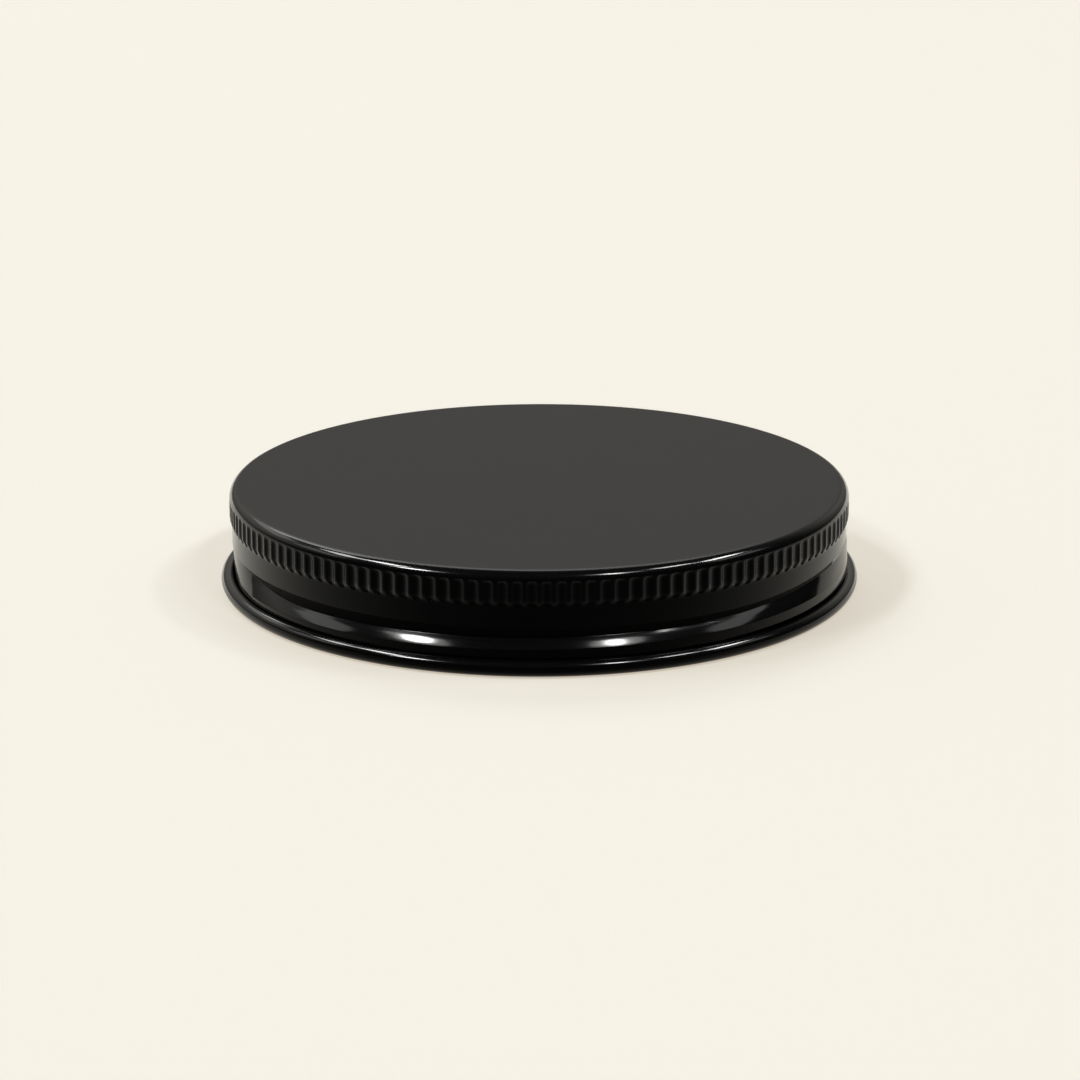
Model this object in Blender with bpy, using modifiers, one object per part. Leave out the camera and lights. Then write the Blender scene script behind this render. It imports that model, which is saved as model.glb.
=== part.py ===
"""A screw-on tin lid: one round of black lacquered steel sheet, drawn into a shallow cap.

Its skirt is knurled for grip, rolled into a right-hand thread, and curled outward at the open edge.
The origin is on the axis at the plane that the curl stands on, +Z points up through the top panel.
"""

import math

import bmesh
import bpy

MM = 0.001

# Sheet and outer sizes of the cap
SHEET_THICKNESS = 0.25 * MM
LID_HEIGHT = 14.7 * MM
KNURL_CREST_RADIUS = 45.0 * MM
CORNER_RADIUS = 1.5 * MM

# Knurls, placed down from the top panel
KNURL_PAIRS = 70
KNURL_DEPTH = 0.4 * MM
KNURL_TOP_DROP = 1.3 * MM
KNURL_LENGTH = 3.5 * MM
KNURL_RUNOUT = 0.4 * MM

# Plain band under the knurls, whose lower edge rises where the thread runs out
BAND_RADIUS = 44.7 * MM
BAND_BOTTOM_HEIGHT = 6.6 * MM
BAND_RISE = 1.0 * MM
BAND_EDGE_RADIUS = 0.3 * MM

# Rolled right-hand thread: equal runs round the skirt, each from its low end to its high end
THREAD_RUNS = 2
THREAD_START_ANGLE = math.radians(186)
THREAD_LENGTH = math.radians(167)
THREAD_RUN_IN = math.radians(22)
THREAD_ENTRY = math.radians(36)
THREAD_ENTRY_DROP = 1.95 * MM
THREAD_RUN_OUT = math.radians(48)
THREAD_EXIT_RISE = 1.5 * MM
THREAD_PITCH = 2.6 * MM
THREAD_START_HEIGHT = 4.5 * MM
THREAD_DEPTH = 0.85 * MM
THREAD_FLOOR = 0.2 * MM
THREAD_SHELF = 0.2 * MM
THREAD_LOWER_FLANK = 1.44 * MM

# Ridge between the thread and the curl
RIDGE_RADIUS = 44.45 * MM
RIDGE_SWELL = 0.5 * MM
RIDGE_EDGE = 0.3 * MM
RIDGE_BOTTOM_HEIGHT = 2.4 * MM

# Outward curl at the open edge
CURL_OUTER_RADIUS = 46.4 * MM
CURL_TUBE_RADIUS = 1.15 * MM
CURL_END_GAP = 0.3 * MM

# Facets
CORNER_STEPS = 4
CURL_STEPS = 10
POINTS_PER_PAIR = 4

# Lacquer
LACQUER_COLOUR = (0.008, 0.008, 0.008, 1.0)
LACQUER_ROUGHNESS = 0.15

FULL_TURN = 2 * math.pi


def smooth_step(value):
    """0 below 0, 1 above 1 and a smooth rise between."""
    value = min(max(value, 0.0), 1.0)
    return value * value * (3 - 2 * value)


def corner_points():
    """The rounded corner, from the flat of the top panel down to the tops of the knurls."""
    centre_radius = KNURL_CREST_RADIUS - CORNER_RADIUS
    centre_height = LID_HEIGHT - CORNER_RADIUS
    lowest_sine = (CORNER_RADIUS - KNURL_TOP_DROP) / CORNER_RADIUS
    lowest = math.asin(max(lowest_sine, 0.0))
    points = []
    for step in range(CORNER_STEPS + 1):
        slope = math.pi / 2 + (lowest - math.pi / 2) * step / CORNER_STEPS
        radius = centre_radius + CORNER_RADIUS * math.cos(slope)
        points.append((radius, centre_height + CORNER_RADIUS * math.sin(slope)))
    return points


def along_the_run(angle):
    """How far an angle is along its run of thread, and how far back it is to the start of the next run."""
    spacing = FULL_TURN / THREAD_RUNS
    along = (angle - THREAD_START_ANGLE) % spacing
    return along, smooth_step((along - THREAD_LENGTH) / (spacing - THREAD_LENGTH))


def thread_state(angle):
    """The thread at an angle: its share of the full depth, its run-out and the share of the ridge's swell."""
    along, back = along_the_run(angle)
    run_in = smooth_step(along / THREAD_RUN_IN)
    run_out = smooth_step((along - THREAD_LENGTH + THREAD_RUN_OUT) / THREAD_RUN_OUT)
    return run_in * (1 - run_out * run_out), run_out * (1 - back), run_in * (1 - back)


def thread_heights(angle, run_out):
    """Heights of the groove's deepest line and of the crest under it, at one angle."""
    along, back = along_the_run(angle)
    level = THREAD_START_HEIGHT + THREAD_PITCH * (along / FULL_TURN - back / THREAD_RUNS)
    entry = THREAD_ENTRY_DROP * (1 - smooth_step(along / THREAD_ENTRY) + back)
    return level + entry + THREAD_EXIT_RISE * run_out, level - THREAD_LOWER_FLANK


def thread_points(angle):
    """The plain band's lower edge, the thread's groove and the ridge under it, at one angle."""
    share, run_out, swell = thread_state(angle)
    deepest, crest = thread_heights(angle, run_out)
    band_bottom = max(BAND_BOTTOM_HEIGHT + BAND_RISE * run_out, deepest + THREAD_SHELF)
    ridge = RIDGE_RADIUS + RIDGE_SWELL * swell
    wall = (BAND_RADIUS + ridge) / 2
    floor = wall + (BAND_RADIUS - THREAD_DEPTH - wall) * share
    return [
        (BAND_RADIUS, band_bottom + BAND_EDGE_RADIUS),
        (BAND_RADIUS - BAND_EDGE_RADIUS / 2 * share, band_bottom),
        (floor, deepest + THREAD_FLOOR / 2),
        (floor, deepest - THREAD_FLOOR / 2),
        (ridge - RIDGE_EDGE / 2 * share, crest + RIDGE_EDGE),
        (ridge, crest),
        (ridge, RIDGE_BOTTOM_HEIGHT),
    ]


def curl_points():
    """The neck above the curl, and the curl itself out, up and back to just short of the neck."""
    centre_radius = CURL_OUTER_RADIUS - CURL_TUBE_RADIUS
    inside = CURL_TUBE_RADIUS - SHEET_THICKNESS
    neck = centre_radius - inside
    reach = (centre_radius - neck - CURL_END_GAP) / CURL_TUBE_RADIUS
    last = FULL_TURN + math.pi - math.acos(reach)
    neck_height = RIDGE_BOTTOM_HEIGHT - (RIDGE_RADIUS + RIDGE_SWELL - neck)
    points = [(neck, neck_height)]
    for step in range(CURL_STEPS + 1):
        turn = math.pi + (last - math.pi) * step / CURL_STEPS
        radius = centre_radius + inside * math.cos(turn)
        points.append((radius, CURL_TUBE_RADIUS + inside * math.sin(turn)))
    return points


def section(angle):
    """The lid's outer profile at one angle, from the middle of the top panel to the end of the curl."""
    knurl_top = LID_HEIGHT - KNURL_TOP_DROP
    knurl_bottom = knurl_top - KNURL_LENGTH
    points = [(0.0, LID_HEIGHT)]
    points += corner_points()
    points.append((KNURL_CREST_RADIUS, knurl_top - KNURL_RUNOUT))
    points.append((KNURL_CREST_RADIUS, knurl_bottom + KNURL_RUNOUT))
    points.append((BAND_RADIUS, knurl_bottom))
    points += thread_points(angle)
    points += curl_points()
    return points


KNURL_ROWS = range(CORNER_STEPS + 1, CORNER_STEPS + 5)
KNURL_DEEP_ROWS = (CORNER_STEPS + 2, CORNER_STEPS + 3)


def turned_sheet(name, steps):
    """The profile turned round the axis, as a mesh whose columns are at equal angles."""
    profile = bpy.data.meshes.new(name + "_profile")
    points = section(0.0)
    edges = [(k, k + 1) for k in range(len(points) - 1)]
    profile.from_pydata([(radius, 0, height) for radius, height in points], edges, [])
    guide = bpy.data.objects.new(name + "_profile", profile)
    bpy.context.scene.collection.objects.link(guide)
    screw = guide.modifiers.new("Turn", "SCREW")
    screw.axis = "Z"
    screw.angle = FULL_TURN
    screw.steps = steps
    screw.render_steps = steps
    screw.use_merge_vertices = True
    screw.merge_threshold = 0.00001
    graph = bpy.context.evaluated_depsgraph_get()
    mesh = bpy.data.meshes.new_from_object(guide.evaluated_get(graph))
    mesh.name = name
    bpy.data.objects.remove(guide)
    bpy.data.meshes.remove(profile)
    return mesh


def nearest_row(points, radius, height):
    """Which point of the profile lies at this radius and height."""
    gaps = [math.hypot(radius - r, height - h) for r, h in points]
    return gaps.index(min(gaps))


def roll_thread(mesh_data):
    """Moves each point of the turned sheet onto the profile at its own angle, and returns its row."""
    turned = section(0.0)
    rows = {}
    for vertex in mesh_data.verts:
        radius = math.hypot(vertex.co.x, vertex.co.y)
        row = nearest_row(turned, radius, vertex.co.z)
        rows[vertex] = row
        if radius < SHEET_THICKNESS:
            continue
        angle = math.atan2(vertex.co.y, vertex.co.x)
        new_radius, vertex.co.z = section(angle)[row]
        vertex.co.x = new_radius * math.cos(angle)
        vertex.co.y = new_radius * math.sin(angle)
    return rows


def roll_knurls(mesh_data, rows):
    """Divides the knurled rows sideways and presses a hollow between each crest and the next."""
    across = []
    for edge in mesh_data.edges:
        ends = {rows[vertex] for vertex in edge.verts}
        if len(ends) == 1 and ends <= set(KNURL_ROWS):
            across.append(edge)
    cuts = POINTS_PER_PAIR - 1
    bmesh.ops.subdivide_edges(mesh_data, edges=across, cuts=cuts, use_grid_fill=True)
    profile = section(0.0)
    heights = {row: profile[row][1] for row in KNURL_ROWS}
    pitch = FULL_TURN / (KNURL_PAIRS * 2)
    for vertex in mesh_data.verts:
        row = min(heights, key=lambda known: abs(heights[known] - vertex.co.z))
        if abs(heights[row] - vertex.co.z) > SHEET_THICKNESS / 10:
            continue
        angle = math.atan2(vertex.co.y, vertex.co.x)
        column = round(angle / (pitch / 2))
        angle = column * pitch / 2
        radius = profile[row][0]
        if row in KNURL_DEEP_ROWS and column % 2:
            radius -= KNURL_DEPTH
        vertex.co.x = radius * math.cos(angle)
        vertex.co.y = radius * math.sin(angle)
    wide = [face for face in mesh_data.faces if len(face.verts) > 4]
    bmesh.ops.triangulate(mesh_data, faces=wide)


def keep_knurls_crisp(mesh):
    """Shades the flanks of the knurls flat, because each is narrower than the smoothing would show."""
    top = LID_HEIGHT - KNURL_TOP_DROP
    for polygon in mesh.polygons:
        if top - KNURL_LENGTH < polygon.center.z < top:
            polygon.use_smooth = False


def black_lacquer():
    """Glossy black lacquer over the steel."""
    material = bpy.data.materials.new("black_lacquer")
    material.use_nodes = True
    shader = material.node_tree.nodes["Principled BSDF"]
    shader.inputs["Base Color"].default_value = LACQUER_COLOUR
    shader.inputs["Roughness"].default_value = LACQUER_ROUGHNESS
    shader.inputs["Metallic"].default_value = 0.0
    material.diffuse_color = LACQUER_COLOUR
    return material


def make_lid(parts):
    """The whole lid: turned, threaded, knurled, and given the thickness of the sheet on its inner side."""
    mesh = turned_sheet("tin_lid", KNURL_PAIRS)
    sheet = bmesh.new()
    sheet.from_mesh(mesh)
    rows = roll_thread(sheet)
    roll_knurls(sheet, rows)
    sheet.to_mesh(mesh)
    sheet.free()
    mesh.materials.append(black_lacquer())
    mesh.shade_smooth()
    mesh.set_sharp_from_angle(angle=math.radians(40))
    keep_knurls_crisp(mesh)
    lid = bpy.data.objects.new("tin_lid", mesh)
    parts.objects.link(lid)
    thickness = lid.modifiers.new("Sheet", "SOLIDIFY")
    thickness.thickness = SHEET_THICKNESS
    thickness.offset = -1.0
    thickness.use_even_offset = True
    return lid


def main():
    for old in list(bpy.data.objects):
        bpy.data.objects.remove(old)
    parts = bpy.data.collections.new("screw_on_tin_lid")
    bpy.context.scene.collection.children.link(parts)
    make_lid(parts)


main()
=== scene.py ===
"""Looks for the screw-on tin lid: the finely rolled sheet, its black lacquer, a pale table and softboxes."""

import math

import bpy
import numpy as np
from mathutils import Matrix, Vector


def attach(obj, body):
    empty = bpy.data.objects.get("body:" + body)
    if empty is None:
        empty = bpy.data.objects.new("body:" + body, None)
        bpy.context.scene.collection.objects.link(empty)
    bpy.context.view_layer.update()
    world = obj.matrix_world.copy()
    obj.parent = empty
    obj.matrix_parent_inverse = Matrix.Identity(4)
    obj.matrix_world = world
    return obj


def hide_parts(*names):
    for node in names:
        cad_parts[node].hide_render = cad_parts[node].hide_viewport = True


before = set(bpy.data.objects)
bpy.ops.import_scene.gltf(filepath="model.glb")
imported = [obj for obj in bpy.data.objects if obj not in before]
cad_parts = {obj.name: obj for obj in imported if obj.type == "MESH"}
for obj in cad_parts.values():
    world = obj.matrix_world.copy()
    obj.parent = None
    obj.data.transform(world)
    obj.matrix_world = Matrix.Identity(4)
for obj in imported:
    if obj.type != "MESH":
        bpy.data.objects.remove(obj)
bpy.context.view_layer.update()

MM = 0.001
FULL_TURN = 2 * math.pi

# Sizes of the lid, as in the part's source, in millimetres and degrees
SHEET = 0.25
LID_HEIGHT = 14.7
CORNER_RADIUS = 1.5
KNURLS = 140
KNURL_CREST = 45.0
KNURL_TOP = 13.4
BAND = 44.7
BAND_TOP = 9.9
BAND_BOTTOM = 6.6
BAND_RISE = 1.0
THREAD_RUNS = 2
THREAD_START = 186.0
THREAD_LENGTH = 167.0
THREAD_RUN_IN = 22.0
THREAD_ENTRY = 36.0
THREAD_ENTRY_DROP = 1.95
THREAD_RUN_OUT = 48.0
THREAD_EXIT_RISE = 1.5
THREAD_PITCH = 2.6
THREAD_START_HEIGHT = 4.5
THREAD_DEPTH = 0.85
THREAD_SHELF = 0.2
THREAD_FLANK = 1.44
RIDGE = 44.45
RIDGE_SWELL = 0.5
RIDGE_BOTTOM = 2.4
CURL_OUTER = 46.4
CURL_TUBE = 1.15
CURL_END_GAP = 0.3

# Knurls: rounded flutes, softer than the source's hollows, in millimetres and shares of their pitch
KNURL_BOTTOM = 9.85
KNURL_DEPTH = 0.3
KNURL_END = 0.7
KNURL_FLUTE = 0.82
KNURL_ROUNDING = 1.1
KNURL_LEAST = 0.05
KNURL_FADE_START = 0.8
KNURL_FADE = 1.0

# Rounding of the skirt below the knurls, in millimetres
BAND_HEAD = 0.5
BAND_FOOT = 1.2
BAND_EDGE = 0.12
THREAD_FLOOR = 0.12
FLOOR_EDGE = 0.1
FLANK_BULGE = 0.02
FLANK_PARTS = 4
CREST_EDGE = 0.16
RIDGE_FACE = 1.4
RIDGE_EDGE = 0.3
NECK_DROP = 0.45
NECK_EDGE = 0.25

# Painted shade in the groove: between these rows of the lower path, where the thread has more than this share
# of its depth, the faces take a darker, less glossy lacquer that stands in for the shade in the crease
GROOVE_SHADE_ROWS = (5, 13)
GROOVE_SHADE_DEPTH = 0.35

# Fineness of the mesh: columns round the lid, steps of its bends, and places of its plain rows in millimetres
COLUMNS = KNURLS * 4
KNURL_COLUMNS = KNURLS * 12
INNER_COLUMNS = KNURLS * 2
CORNER_SWEEP = 82.0
CORNER_STEPS = 12
INNER_CORNER_STEPS = 4
CURL_HOLLOW_STEPS = 10
CURL_OUTSIDE_STEPS = 30
PANEL_RADII = (0.0, 22.0, 42.5)
KNURL_ROWS = (KNURL_TOP, 13.37, 13.32, 13.24, 13.12, 12.95, 12.75, 12.3, 11.7, 11.0,
              10.6, 10.4, 10.2, 10.05, 9.95, 9.9, KNURL_BOTTOM, 9.6)
INNER_KNURL_ROWS = (9.8, 10.5, 11.7, 12.9, 13.3)

# Limits of the arcs in a path: what counts as straight, and the share of a side that an arc may take up
STRAIGHT = 1e-4
STRAIGHT_REACH = 0.2
ARC_REACH = 0.48
NO_LENGTH = 1e-9


def smooth_step(value):
    value = min(max(value, 0.0), 1.0)
    return value * value * (3 - 2 * value)


def thread_state(angle):
    """The thread at an angle: its share of the full depth, how far it has run out, the ridge's share of its
    swell, and the heights of the deepest line and of the crest."""
    spacing = 360.0 / THREAD_RUNS
    along = (math.degrees(angle) - THREAD_START) % spacing
    back = smooth_step((along - THREAD_LENGTH) / (spacing - THREAD_LENGTH))
    run_in = smooth_step(along / THREAD_RUN_IN)
    run_out = smooth_step((along - THREAD_LENGTH + THREAD_RUN_OUT) / THREAD_RUN_OUT)
    share, swell = run_in * (1 - run_out * run_out), run_in * (1 - back)
    run_out *= 1 - back
    level = THREAD_START_HEIGHT + THREAD_PITCH * (along - spacing * back) / 360.0
    entry = THREAD_ENTRY_DROP * (1 - smooth_step(along / THREAD_ENTRY) + back)
    return share, run_out, swell, level + entry + THREAD_EXIT_RISE * run_out, level - THREAD_FLANK


def rounded(points, radii, steps):
    """A polyline whose inner corners become arcs of the given radii, each in a fixed number of steps."""
    path = [points[0]]
    for k in range(1, len(points) - 1):
        before, here, after = (np.array(points[k + d], float) for d in (-1, 0, 1))
        if steps[k] == 0:
            path.append(tuple(here))
            continue
        into, out = before - here, after - here
        long_in, long_out = np.hypot(*into), np.hypot(*out)
        into, out = into / long_in, out / long_out
        bend = math.acos(max(-1.0, min(1.0, float(into @ out))))
        if bend > math.pi - STRAIGHT:
            reach = min(radii[k] / 4, STRAIGHT_REACH * long_in, STRAIGHT_REACH * long_out)
            for j in range(steps[k] + 1):
                share = j / steps[k] * 2 - 1
                step = -into if share > 0 else into
                path.append(tuple(here + step * reach * abs(share)))
            continue
        reach = min(radii[k] / math.tan(bend / 2), ARC_REACH * long_in, ARC_REACH * long_out)
        radius = reach * math.tan(bend / 2)
        middle = (into + out) / np.hypot(*(into + out))
        centre = here + middle * (radius / math.sin(bend / 2))
        start, end = here + into * reach - centre, here + out * reach - centre
        first = math.atan2(start[1], start[0])
        sweep = (math.atan2(end[1], end[0]) - first + math.pi) % FULL_TURN - math.pi
        for j in range(steps[k] + 1):
            turn = first + sweep * j / steps[k]
            path.append((centre[0] + radius * math.cos(turn), centre[1] + radius * math.sin(turn)))
    path.append(points[-1])
    return path


def upper_path(steps):
    """The panel and its corner, down to the upper edge of the knurled rows."""
    path = [(radius, LID_HEIGHT) for radius in PANEL_RADII]
    for k in range(steps + 1):
        turn = math.radians(90 - CORNER_SWEEP * k / steps)
        radius = KNURL_CREST - CORNER_RADIUS * (1 - math.cos(turn))
        path.append((radius, LID_HEIGHT - CORNER_RADIUS * (1 - math.sin(turn))))
    return path


def knurl_hollow(share, height):
    """Depth of a hollow at a place across its pitch (0 to 1, crest to crest) and a height."""
    ends = []
    for gap in (KNURL_TOP - height, height - KNURL_BOTTOM):
        near = min(max(gap / KNURL_END, 0.0), 1.0)
        ends.append(math.sqrt(1 - (1 - near) ** 2))
    wide = min(ends)
    if wide <= KNURL_LEAST:
        return 0.0
    from_middle = min(abs(share - 0.5) * 2 / (KNURL_FLUTE * wide ** 0.5), 1.0)
    return KNURL_DEPTH * wide * (1 - from_middle ** 2) ** KNURL_ROUNDING


def knurl_row(height, columns):
    """One ring of the knurled rows."""
    corner_end = LID_HEIGHT - CORNER_RADIUS
    above = min(max((height - corner_end) / CORNER_RADIUS, 0.0), 1.0)
    crest = KNURL_CREST - CORNER_RADIUS * (1 - math.sqrt(1 - above * above))
    crest += (BAND - KNURL_CREST) * smooth_step((KNURL_BOTTOM + KNURL_FADE_START - height) / KNURL_FADE)
    shares = ((k * KNURLS / columns) % 1.0 for k in range(columns))
    return [(crest - knurl_hollow(share, height), height) for share in shares]


def lower_path(angle, fine):
    """The plain band, the thread's groove, the ridge and the neck, at one angle, down to the curl."""
    share, run_out, swell, deepest, crest = thread_state(angle)
    band_bottom = max(BAND_BOTTOM + BAND_RISE * run_out, deepest + THREAD_SHELF)
    ridge = RIDGE + RIDGE_SWELL * swell
    wall = (BAND + ridge) / 2
    floor = wall + (BAND - THREAD_DEPTH - wall) * share
    ridge_bottom = max(RIDGE_BOTTOM, crest - RIDGE_FACE)
    neck = CURL_OUTER - 2 * CURL_TUBE + SHEET
    flank = []
    for k in range(1, FLANK_PARTS):
        bulge = FLANK_BULGE * share * k * (FLANK_PARTS - k) / FLANK_PARTS
        out, down = (ridge - floor) * k / FLANK_PARTS, (crest - deepest) * k / FLANK_PARTS
        flank.append(((floor + out + bulge, deepest + down), 0, 0, 0))
    # Each corner: its place, the radius of its arc, and the arc's steps on the outer and on the inner side
    corners = [((BAND, BAND_TOP - BAND_HEAD), 0, 0, 0),
               ((BAND, band_bottom + BAND_FOOT), 0, 0, 0),
               ((BAND, band_bottom), BAND_EDGE, 5, 2),
               ((floor, deepest + THREAD_FLOOR / 2), FLOOR_EDGE, 4, 2),
               ((floor, deepest - THREAD_FLOOR / 2), FLOOR_EDGE, 4, 2),
               *flank,
               ((ridge, crest), CREST_EDGE, 5, 2),
               ((ridge, ridge_bottom), RIDGE_EDGE, 5, 2),
               ((neck, RIDGE_BOTTOM - NECK_DROP), NECK_EDGE, 4, 1),
               ((neck, CURL_TUBE), 0, 0, 0)]
    places, radii, outer_steps, inner_steps = zip(*corners)
    return rounded(places, radii, outer_steps if fine else inner_steps)


def curl_path(radius, steps):
    """The curl round its tube's centre: down the neck, out along the table, and back over the top."""
    centre = CURL_OUTER - CURL_TUBE
    reach = (CURL_TUBE - SHEET - CURL_END_GAP) / CURL_TUBE
    last = FULL_TURN + math.pi - math.acos(reach)
    path = []
    for k in range(steps + 1):
        turn = math.pi + (last - math.pi) * k / steps
        path.append((centre + radius * math.cos(turn), CURL_TUBE + radius * math.sin(turn)))
    return path


def shifted(path, distance):
    """The path moved sideways in its own plane, towards the inside of the lid."""
    moved = []
    for k, (radius, height) in enumerate(path):
        before, after = path[max(k - 1, 0)], path[min(k + 1, len(path) - 1)]
        along = np.array(after) - np.array(before)
        size = math.hypot(*along)
        if size < NO_LENGTH:
            moved.append((radius, height))
            continue
        moved.append((max(radius + along[1] / size * distance, 0.0), height - along[0] / size * distance))
    return moved


class SheetMesh:
    """Collects rings of points, the faces between them and the numbers of the groove's faces that take the
    painted shade.
    """

    def __init__(self):
        self.points = []
        self.faces = []
        self.shaded_faces = []

    def ring(self, places):
        """Adds a ring of (radius, height) places, one for each column; returns its first index and count."""
        first = len(self.points)
        count = len(places)
        for k, (radius, height) in enumerate(places):
            angle = FULL_TURN * k / count
            self.points.append((radius * math.cos(angle) * MM, radius * math.sin(angle) * MM, height * MM))
        return first, count

    def join(self, upper, lower, rubbed=False):
        """Faces between two rings; one may have a whole number of times the columns of the other."""
        (a, many_a), (b, many_b) = upper, lower
        steps = max(many_a, many_b)
        for k in range(steps):
            at_a, next_a = k * many_a // steps, (k + 1) * many_a // steps
            at_b, next_b = k * many_b // steps, (k + 1) * many_b // steps
            corners = [a + at_a, b + at_b]
            if next_b != at_b:
                corners.append(b + next_b % many_b)
            if next_a != at_a:
                corners.append(a + next_a % many_a)
            if len(corners) > 2:
                # Faces deep in the groove take the painted shade: a darker, less glossy lacquer for the shade
                # in the crease
                if rubbed and thread_state(FULL_TURN * (k + 0.5) / steps)[0] > GROOVE_SHADE_DEPTH:
                    self.shaded_faces.append(len(self.faces))
                self.faces.append(corners)

    def fan(self, height, ring, flip=False):
        """Closes a ring with one point on the axis."""
        tip = len(self.points)
        self.points.append((0.0, 0.0, height * MM))
        first, count = ring
        for k in range(count):
            corners = [tip, first + k, first + (k + 1) % count]
            self.faces.append(corners[::-1] if flip else corners)


def grid_of(path_at, columns):
    """For each row of a path that depends on the angle, the places of all its columns."""
    paths = [path_at(FULL_TURN * k / columns) for k in range(columns)]
    return [[paths[k][row] for k in range(columns)] for row in range(len(paths[0]))]


def build_outer_side(sheet):
    """The outer side, from the panel's middle down the skirt and into the curl; returns its last ring."""
    upper = upper_path(CORNER_STEPS)
    rings = [sheet.ring([place] * COLUMNS) for place in upper[1:]]
    sheet.fan(LID_HEIGHT, rings[0])
    rings += [sheet.ring(knurl_row(height, KNURL_COLUMNS)) for height in KNURL_ROWS]
    lower_start = len(rings)
    rings += [sheet.ring(row) for row in grid_of(lambda angle: lower_path(angle, True), COLUMNS)]
    hollow = curl_path(CURL_TUBE - SHEET, CURL_HOLLOW_STEPS)
    rings += [sheet.ring([place] * COLUMNS) for place in hollow[1:]]
    # The groove's rows between these take the painted shade
    first_shaded, end_shaded = GROOVE_SHADE_ROWS
    for k, (above, below) in enumerate(zip(rings, rings[1:])):
        sheet.join(above, below, rubbed=first_shaded <= k - lower_start < end_shaded)
    return rings[-1]


def build_inner_side(sheet, outer_end):
    """The other side, from the curl's end round its outside and up inside the lid to the middle."""
    outside = curl_path(CURL_TUBE, CURL_OUTSIDE_STEPS)
    rings = [sheet.ring([place] * COLUMNS) for place in outside[::-1]]
    sheet.join(outer_end, rings[0])
    walls = grid_of(lambda angle: shifted(lower_path(angle, False), SHEET), INNER_COLUMNS)
    rings += [sheet.ring(row) for row in walls[::-1][1:]]
    for row_height in INNER_KNURL_ROWS:
        row = knurl_row(row_height, INNER_COLUMNS)
        rings.append(sheet.ring([(radius - SHEET, height) for radius, height in row]))
    ceiling = shifted(upper_path(INNER_CORNER_STEPS), SHEET)
    rings += [sheet.ring([place] * INNER_COLUMNS) for place in ceiling[::-1][:-1]]
    for above, below in zip(rings, rings[1:]):
        sheet.join(above, below)
    sheet.fan(ceiling[0][1], rings[-1], flip=True)


def mesh_object(name, points, faces):
    mesh = bpy.data.meshes.new(name)
    mesh.from_pydata(points, [], faces)
    mesh.validate()
    mesh.update()
    piece = bpy.data.objects.new(name, mesh)
    bpy.context.scene.collection.objects.link(piece)
    return piece


# Lacquer: two near blacks, and gloss and roughness for the upright wall, the bends and the panel
BLACKS = ((0.0026, 0.0026, 0.0027), (0.0038, 0.0038, 0.0037))
# Painted shade in the groove: the blacks there are times this tone, with this gloss and this roughness
GROOVE_SHADE_TONE = 0.4
WALL_GLOSS = 0.22
GROOVE_SHADE_GLOSS = 0.04
BEND_GLOSS = 1.0
PANEL_GLOSS = 0.3
WALL_ROUGHNESS = 0.09
GROOVE_SHADE_ROUGHNESS = 0.5
PANEL_ROUGHNESS = 0.3
ROUGHNESS_SPREAD = 0.03
LACQUER_IOR = 1.5
CLOUD_SCALE = 60.0
GRAIN_SCALE = 2600.0
GRAIN_STRENGTH = 0.05
GRAIN_DISTANCE = 0.00002
# The wall has its full gloss from this Facing on, and a face is a bend where its normal rises this much
FULL_GLOSS_FACING = 0.75
BEND_RISE = (0.3, 0.55)
# Heights between which the finish changes, in millimetres: the panel's edge, and the ends of the plain wall
PANEL_EDGE = (LID_HEIGHT - 0.2, LID_HEIGHT - 0.02)
CORNER_EDGE = (KNURL_TOP - 0.05, KNURL_TOP + 0.1)
THREAD_EDGE = (BAND_BOTTOM, BAND_BOTTOM + 0.5)

# Table: matt paper whose tone is partly its own, and how far it reaches in metres
PAPERS = ((0.806, 0.878, 0.878, 1), (0.816, 0.888, 0.888, 1))
PAPER_ROUGHNESS = 0.9
PAPER_CLOUD_SCALE = 5.0
OWN_TONE = (1.0, 0.88, 0.715, 1)
OWN_STRENGTH = 1.75
OWN_SHARE = 0.3
TABLE_REACH = 20.0


def new_material(name):
    material = bpy.data.materials.new(name)
    material.use_nodes = True
    tree = material.node_tree
    return material, tree, tree.nodes["Principled BSDF"]


def add(tree, kind, **values):
    """Adds a node; values are its settings, or its inputs where the name starts with in_."""
    node = tree.nodes.new(kind)
    for key, value in values.items():
        if key.startswith("in_"):
            node.inputs[key[3:].replace("_", " ")].default_value = value
        else:
            setattr(node, key, value)
    return node


def feed(tree, socket, source):
    """Links a node's output to an input, or sets the input to a number or a colour."""
    if isinstance(source, bpy.types.NodeSocket):
        tree.links.new(source, socket)
    else:
        socket.default_value = source


def calculated(tree, operation, *sources):
    node = add(tree, "ShaderNodeMath", operation=operation)
    for socket, source in zip(node.inputs, sources):
        feed(tree, socket, source)
    return node.outputs[0]


def mapped(tree, source, low, high, to_low=0.0, to_high=1.0):
    node = add(tree, "ShaderNodeMapRange", interpolation_type="SMOOTHSTEP")
    tree.links.new(source, node.inputs["Value"])
    for name, value in (("From Min", low), ("From Max", high), ("To Min", to_low), ("To Max", to_high)):
        node.inputs[name].default_value = value
    return node.outputs["Result"]


def mixed(tree, factor, first, second):
    """A number between two others."""
    node = add(tree, "ShaderNodeMix", data_type="FLOAT")
    for socket, source in zip((node.inputs[0], node.inputs[2], node.inputs[3]), (factor, first, second)):
        feed(tree, socket, source)
    return node.outputs[0]


def mixed_colour(tree, factor, first, second):
    """A colour between two others."""
    node = add(tree, "ShaderNodeMix", data_type="RGBA")
    for socket, source in zip((node.inputs[0], node.inputs[6], node.inputs[7]), (factor, first, second)):
        feed(tree, socket, source)
    return node.outputs[2]


def noise(tree, place, **values):
    node = add(tree, "ShaderNodeTexNoise", **values)
    tree.links.new(place, node.inputs["Vector"])
    return node.outputs["Fac"]


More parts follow.
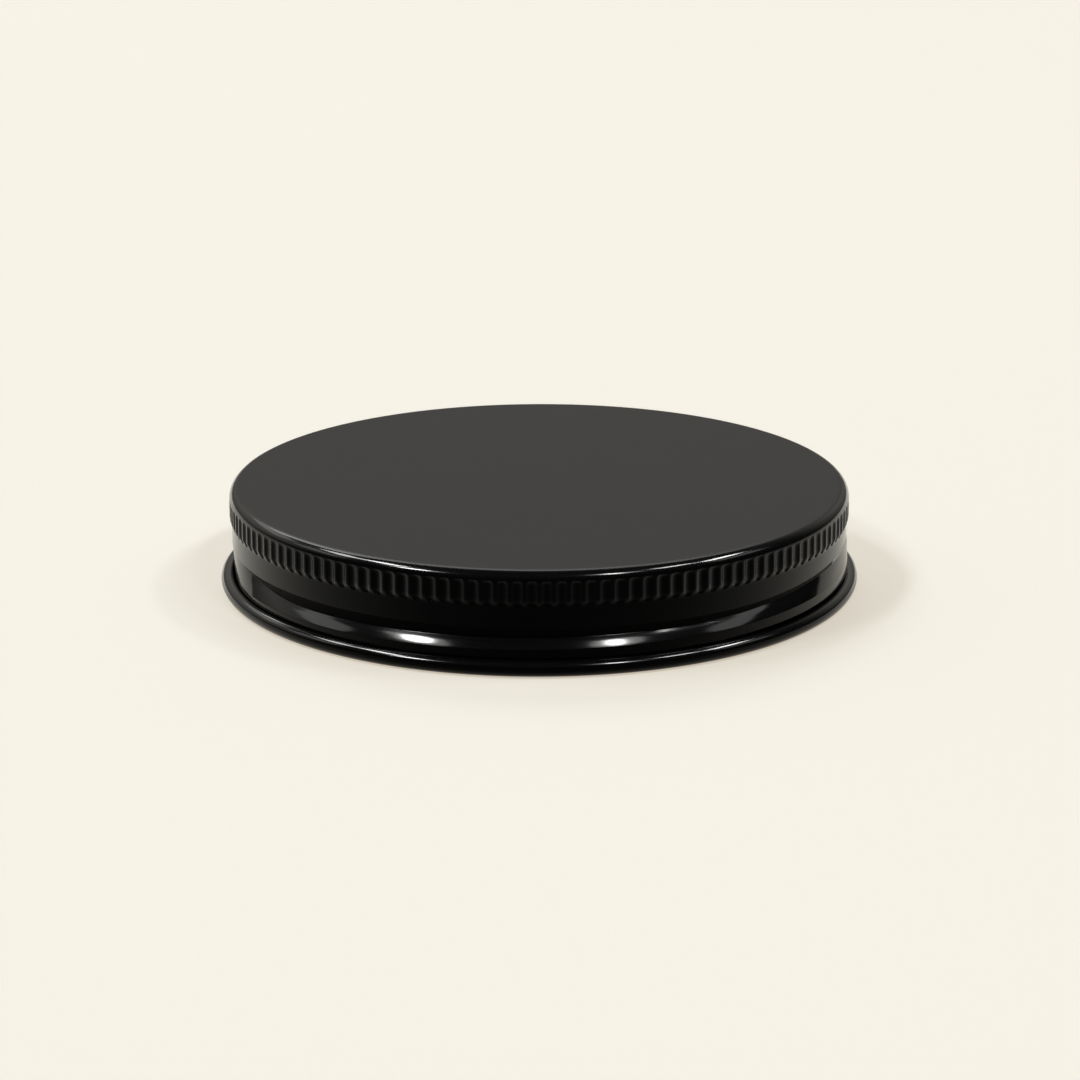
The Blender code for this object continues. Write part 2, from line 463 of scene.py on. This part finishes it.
def lacquer_gloss(tree, height, normal, panel, rubbed):
    """The wall shines more the more it is seen edge on, the bends shine fully, and the panel little."""
    turned = add(tree, "ShaderNodeLayerWeight", in_Blend=0.5).outputs["Facing"]
    wall = mapped(tree, turned, 0.0, FULL_GLOSS_FACING, 0.0, GROOVE_SHADE_GLOSS if rubbed else WALL_GLOSS)
    slope = add(tree, "ShaderNodeSeparateXYZ")
    tree.links.new(normal, slope.inputs[0])
    above_knurls = mapped(tree, height, *(edge * MM for edge in CORNER_EDGE))
    below_band = mapped(tree, height, *(edge * MM for edge in THREAD_EDGE), 1.0, 0.0)
    plain = calculated(tree, "MAXIMUM", above_knurls, below_band)
    upward = calculated(tree, "MULTIPLY", mapped(tree, slope.outputs["Z"], *BEND_RISE), plain)
    return mixed(tree, upward, wall, mixed(tree, panel, BEND_GLOSS, PANEL_GLOSS))


def lacquer(name, rubbed):
    """Black stoving lacquer: satin on the panel, glossy on the rolled skirt, with a fine grain; the rubbed
    copy is darker and less glossy, painted shade for the groove's crease.
    """
    material, tree, shader = new_material(name)
    coordinates = add(tree, "ShaderNodeTexCoord")
    place = coordinates.outputs["Object"]
    split = add(tree, "ShaderNodeSeparateXYZ")
    tree.links.new(place, split.inputs[0])
    height = split.outputs["Z"]
    panel = mapped(tree, height, *(edge * MM for edge in PANEL_EDGE))
    cloud = noise(tree, place, in_Scale=CLOUD_SCALE, in_Detail=3.0, in_Roughness=0.5)
    # Painted shade: the groove's copy takes darker blacks
    tone = GROOVE_SHADE_TONE if rubbed else 1.0
    blacks = [tuple(value * tone for value in black) + (1,) for black in BLACKS]
    feed(tree, shader.inputs["Base Color"], mixed_colour(tree, cloud, *blacks))
    rough = mixed(tree, panel, GROOVE_SHADE_ROUGHNESS if rubbed else WALL_ROUGHNESS, PANEL_ROUGHNESS)
    feed(tree, shader.inputs["Roughness"], calculated(tree, "MULTIPLY_ADD", cloud, ROUGHNESS_SPREAD, rough))
    grain = noise(tree, place, in_Scale=GRAIN_SCALE, in_Detail=2.0, in_Roughness=0.6)
    bump = add(tree, "ShaderNodeBump", in_Strength=GRAIN_STRENGTH, in_Distance=GRAIN_DISTANCE)
    tree.links.new(grain, bump.inputs["Height"])
    tree.links.new(bump.outputs["Normal"], shader.inputs["Normal"])
    gloss = lacquer_gloss(tree, height, coordinates.outputs["Normal"], panel, rubbed)
    tree.links.new(gloss, shader.inputs["Specular IOR Level"])
    shader.inputs["IOR"].default_value = LACQUER_IOR
    return material


def table_finish():
    """Matt cream paper; part of its tone is its own, for the camera and reflections, to keep it even."""
    material, tree, shader = new_material("pale_table")
    place = add(tree, "ShaderNodeTexCoord").outputs["Object"]
    cloud = noise(tree, place, in_Scale=PAPER_CLOUD_SCALE, in_Detail=2.0)
    feed(tree, shader.inputs["Base Color"], mixed_colour(tree, cloud, *PAPERS))
    shader.inputs["Roughness"].default_value = PAPER_ROUGHNESS
    shader.inputs["Specular IOR Level"].default_value = 0.0
    even = add(tree, "ShaderNodeEmission", in_Strength=OWN_STRENGTH, in_Color=OWN_TONE)
    path = add(tree, "ShaderNodeLightPath").outputs
    seen = calculated(tree, "MAXIMUM", path["Is Camera Ray"], path["Is Glossy Ray"])
    seen = calculated(tree, "MAXIMUM", seen, path["Is Transmission Ray"])
    blend = add(tree, "ShaderNodeMixShader")
    sources = (calculated(tree, "MULTIPLY", seen, OWN_SHARE), shader.outputs[0], even.outputs[0])
    for socket, source in zip(blend.inputs, sources):
        tree.links.new(source, socket)
    tree.links.new(blend.outputs[0], tree.nodes["Material Output"].inputs["Surface"])
    return material


def add_lid():
    """The lid's sheet in its lacquer, with a darker, less glossy copy as painted shade in the groove."""
    sheet = SheetMesh()
    build_inner_side(sheet, build_outer_side(sheet))
    lid = mesh_object("lid_sheet", sheet.points, sheet.faces)
    lid.data.shade_smooth()
    lid.data.materials.append(lacquer("black_lacquer_finish", False))
    # Second slot: the groove's painted shade, a darker, less glossy copy of the lacquer
    lid.data.materials.append(lacquer("black_lacquer_painted_groove_shade", True))
    for k in sheet.shaded_faces:
        lid.data.polygons[k].material_index = 1
    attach(lid, "root")
    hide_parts("tin_lid")


def add_table():
    """A flat square of paper, far larger than the view."""
    signs = ((-1, -1), (1, -1), (1, 1), (-1, 1))
    corners = [(x * TABLE_REACH, y * TABLE_REACH, 0) for x, y in signs]
    table = mesh_object("table_top", corners, [(0, 1, 2, 3)])
    table.data.materials.append(table_finish())


# Light, in metres: each softbox is a little nearer than the one before, so that a core lies before its halo
LIGHT_DISTANCE = 6.0
LIGHT_SPACING = 0.05
LIGHT_COLOUR = (1.0, 0.99, 0.975)
# Name, azimuth, elevation, width and height in degrees, radiance and shape
SOFTBOXES = (
    ("key_back", 100, 44, 50, 20, 2.3, "RECTANGLE"),
    ("softbox_back", 133, 32, 36, 12, 0.6, "RECTANGLE"),
    ("softbox_left", 172, 34, 26, 11, 0.6, "RECTANGLE"),
    ("softbox_right", 359, 38, 28, 10, 0.6, "RECTANGLE"),
    ("strip_left", 160, 50, 24, 8, 6.0, "RECTANGLE"),
    ("strip_left_hot", 181, 57, 28, 6, 15.0, "RECTANGLE"),
    ("strip_right_near", 344, 57, 22, 5, 12.0, "RECTANGLE"),
    ("strip_right", 8, 51, 26, 5, 17.0, "RECTANGLE"),
    ("lamp_left", 211, 49, 34, 9, 1.2, "ELLIPSE"),
    ("lamp_left_core", 211, 49, 17, 6.5, 17.0, "ELLIPSE"),
    ("lamp_right", 306, 52, 26, 10, 1.5, "ELLIPSE"),
    ("lamp_right_core", 305, 52, 10, 7, 15.0, "ELLIPSE"),
)
# The room glows softly on the far side of the lid, less near the horizon and least overhead. Over the first
# two values, of the turn to that side or of the rise, the glow goes from the third value to the last
GLOW_SIDE = (-0.34, 0.94, 0.0)
GLOW_SPREAD = (0.0, 0.85, 0.0, 1.0)
GLOW_RISE = (0.05, 0.38, 0.45, 1.0)
GLOW_FALL = (0.36, 0.8, 1.0, 0.15)
DARK_ROOM = (0.02, 0.02, 0.02, 1)
ROOM_GLOW = (0.34, 0.332, 0.305, 1)


def softbox(name, azimuth, elevation, across, tall, radiance, shape):
    """A softbox that faces the lid, spanning so many degrees of azimuth and of elevation."""
    az, el = math.radians(azimuth), math.radians(elevation)
    distance = LIGHT_DISTANCE - LIGHT_SPACING * len(bpy.data.lights)
    place = Vector((math.cos(el) * math.cos(az), math.cos(el) * math.sin(az), math.sin(el))) * distance
    light = bpy.data.lights.new(name, "AREA")
    light.shape = shape
    light.size = 2 * distance * math.cos(el) * math.tan(math.radians(across / 2))
    light.size_y = 2 * distance * math.tan(math.radians(tall / 2))
    light.energy = radiance * math.pi * light.size * light.size_y
    light.color = LIGHT_COLOUR
    lamp = bpy.data.objects.new(name, light)
    bpy.context.scene.collection.objects.link(lamp)
    lamp.matrix_world = Matrix.Translation(place) @ (-place).to_track_quat("-Z", "Y").to_matrix().to_4x4()


def add_room():
    """The dim room round the table, with its glow."""
    world = bpy.data.worlds.new("room")
    bpy.context.scene.world = world
    world.use_nodes = True
    tree = world.node_tree
    direction = add(tree, "ShaderNodeTexCoord").outputs["Generated"]
    split = add(tree, "ShaderNodeSeparateXYZ")
    tree.links.new(direction, split.inputs[0])
    back = add(tree, "ShaderNodeVectorMath", operation="DOT_PRODUCT")
    tree.links.new(direction, back.inputs[0])
    back.inputs[1].default_value = GLOW_SIDE
    behind = mapped(tree, back.outputs["Value"], *GLOW_SPREAD)
    rise = mapped(tree, split.outputs["Z"], *GLOW_RISE)
    fall = mapped(tree, split.outputs["Z"], *GLOW_FALL)
    glow = calculated(tree, "MULTIPLY", behind, calculated(tree, "MULTIPLY", rise, fall))
    background = tree.nodes["Background"]
    tree.links.new(mixed_colour(tree, glow, DARK_ROOM, ROOM_GLOW), background.inputs["Color"])
    background.inputs["Strength"].default_value = 1.0


# Camera of the photograph: its place, lens and sensor in millimetres, its turns in degrees
EYE = (0.0, -573.241, 178.300)
PITCH = 16.75292
YAW = 0.01178
ROLL = -0.11639
LENS = 136.593
SENSOR = 36.0
NEAREST = 10.0


def add_camera():
    """The camera of the photograph, which looks along +Y and a little down."""
    pitch, yaw, roll = math.radians(PITCH), math.radians(YAW), math.radians(ROLL)
    forward = Vector((math.sin(yaw) * math.cos(pitch), math.cos(yaw) * math.cos(pitch), -math.sin(pitch)))
    right = Vector((math.cos(yaw), -math.sin(yaw), 0))
    up = right.cross(forward)
    across = right * math.cos(roll) + up * math.sin(roll)
    upward = up * math.cos(roll) - right * math.sin(roll)
    view = bpy.data.cameras.new("photo_camera")
    view.sensor_width = SENSOR
    view.lens = LENS
    view.clip_start = NEAREST * MM
    camera = bpy.data.objects.new("photo_camera", view)
    bpy.context.scene.collection.objects.link(camera)
    turn = Matrix((across, upward, -forward)).transposed()
    camera.matrix_world = Matrix.Translation(Vector(EYE) * MM) @ turn.to_4x4()
    bpy.context.scene.camera = camera


add_lid()
add_table()
for values in SOFTBOXES:
    softbox(*values)
add_room()
add_camera()
bpy.context.scene.view_settings.view_transform = "Standard"
